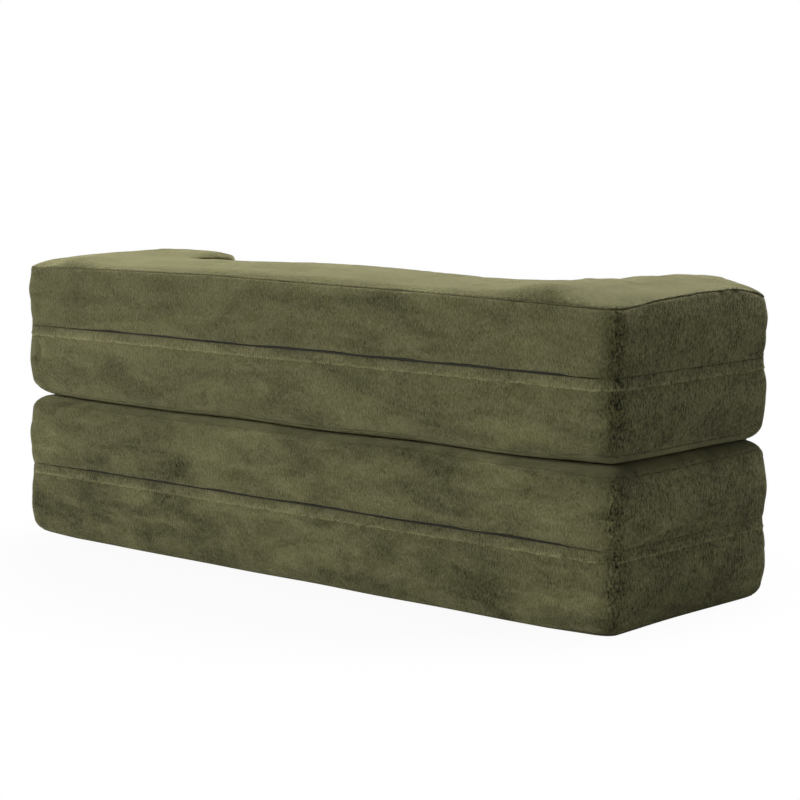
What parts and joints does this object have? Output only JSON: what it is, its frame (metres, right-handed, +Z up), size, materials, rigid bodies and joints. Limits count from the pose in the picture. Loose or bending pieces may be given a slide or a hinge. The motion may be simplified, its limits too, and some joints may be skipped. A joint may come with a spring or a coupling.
{
  "type": "curved sofa bed",
  "caption": "Folding foam sofa bed in plush fabric, shown folded into a stack, with a curved front edge between rounded arms on its top panel.",
  "frame": {"origin": "on the floor, under the middle of the folded stack", "axes": "+X along the sofa's length, -Y out of its curved front, +Z up"},
  "size_m": [1.4822, 0.4834, 0.566],
  "materials": {
    "plush": "moss green short-pile plush with a soft nap",
    "ribbon": "moss green plush ribbon, slightly lighter and puckered",
    "support_foam": "firm open-cell foam",
    "comfort_foam": "soft open-cell foam",
    "zip_tape": "black woven zip tape",
    "zip_coil": "black nylon coil",
    "zip_metal": "black enamelled metal"
  },
  "bodies": {
    "panel_1": {"panel_1_support_foam": "support_foam", "panel_1_comfort_foam": "comfort_foam", "panel_1_base_cover": "plush", "panel_1_side_cover": "plush", "panel_1_top_cover": "plush", "panel_1_ribbon": "ribbon", "lower_back_hinge_lower_leaf": "ribbon"},
    "panel_2": {"panel_2_support_foam": "support_foam", "panel_2_comfort_foam": "comfort_foam", "panel_2_base_cover": "plush", "panel_2_side_cover": "plush", "panel_2_top_cover": "plush", "panel_2_zip_tape": "zip_tape", "panel_2_zip_coil": "zip_coil", "panel_2_zip_stops": "zip_metal", "lower_back_hinge_upper_leaf": "ribbon", "front_hinge_lower_leaf": "plush"},
    "panel_3": {"panel_3_support_foam": "support_foam", "panel_3_comfort_foam": "comfort_foam", "panel_3_base_cover": "plush", "panel_3_side_cover": "plush", "panel_3_top_cover": "plush", "panel_3_ribbon": "ribbon", "front_hinge_upper_leaf": "plush", "upper_back_hinge_lower_leaf": "ribbon"},
    "panel_4": {"panel_4_support_foam": "support_foam", "panel_4_comfort_foam": "comfort_foam", "panel_4_base_cover": "plush", "panel_4_side_cover": "plush", "panel_4_top_cover": "plush", "panel_4_zip_tape": "zip_tape", "panel_4_zip_coil": "zip_coil", "panel_4_zip_stops": "zip_metal", "upper_back_hinge_upper_leaf": "ribbon"},
    "lower_zip_slider": {"panel_2_zip_slider": "zip_metal"},
    "upper_zip_slider": {"panel_4_zip_slider": "zip_metal"}
  },
  "joints": [
    {"name": "lower_back_hinge", "type": "hinge", "parent": "panel_1", "child": "panel_2", "pos_m": [0, 0.242, 0.1425], "axis": [-1, 0, 0], "range_deg": [0, 180]},
    {"name": "front_hinge", "type": "hinge", "parent": "panel_2", "child": "panel_3", "pos_m": [0, -0.242, 0.285], "axis": [1, 0, 0], "range_deg": [0, 180]},
    {"name": "upper_back_hinge", "type": "hinge", "parent": "panel_3", "child": "panel_4", "pos_m": [0, 0.242, 0.4275], "axis": [-1, 0, 0], "range_deg": [0, 180]},
    {"name": "lower_zip", "type": "slide", "parent": "panel_2", "child": "lower_zip_slider", "axis": [-1, 0, 0], "range_m": [0, 1.3]},
    {"name": "upper_zip", "type": "slide", "parent": "panel_4", "child": "upper_zip_slider", "axis": [-1, 0, 0], "range_m": [0, 1.3]}
  ]
}
